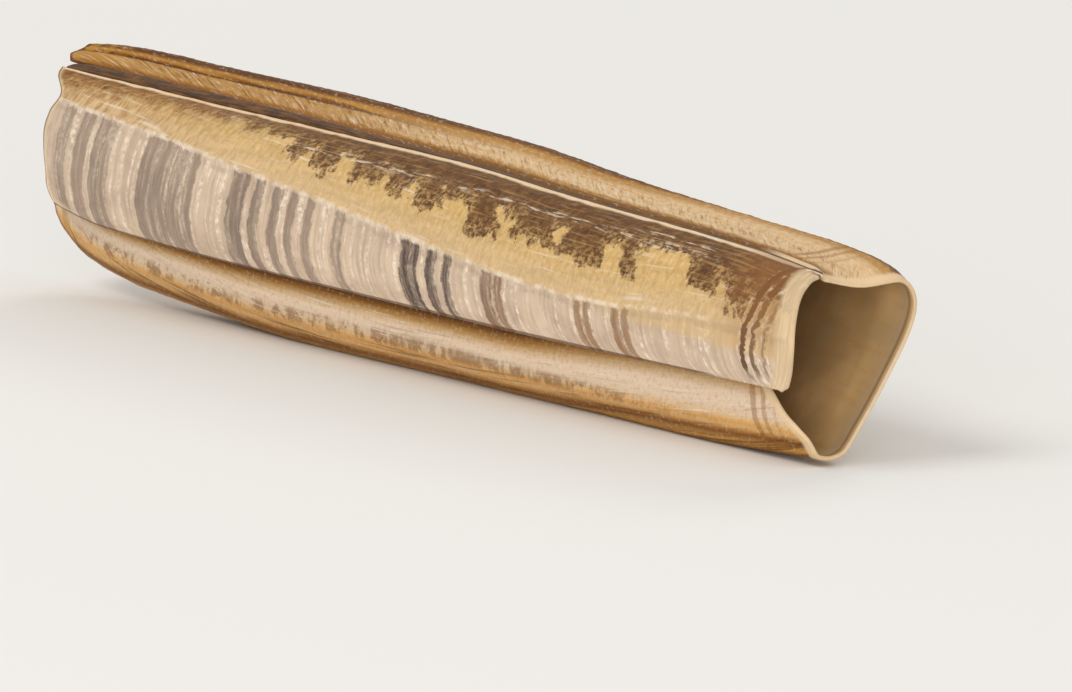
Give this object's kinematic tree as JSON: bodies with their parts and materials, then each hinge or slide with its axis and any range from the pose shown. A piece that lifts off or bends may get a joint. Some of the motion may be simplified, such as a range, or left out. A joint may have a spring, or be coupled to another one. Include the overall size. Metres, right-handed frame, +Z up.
{
  "type": "razor clam shell",
  "caption": "Long, narrow sea shell of two thin valves joined by a dark ligament, empty, gaping at both ends and lying on its straight lower edge.",
  "frame": {"origin": "on the ground under the middle of the shell's bounding box", "axes": "+X along the shell to its wide open back (siphon) end, +Z up through the hinge, -Y to the left valve"},
  "size_m": [0.1501, 0.0186, 0.0263],
  "materials": {
    "left_valve": "satin shell with a brown and golden skin along the hinge and grey-violet growth bands below it",
    "right_valve": "satin shell, golden brown lengthwise streaks over cream",
    "ligament": "dark brown horn, slightly glossy, with fine lengthwise wrinkles"
  },
  "bodies": {
    "root": {"left_valve": "left_valve", "right_valve": "right_valve", "ligament": "ligament"}
  },
  "joints": []
}
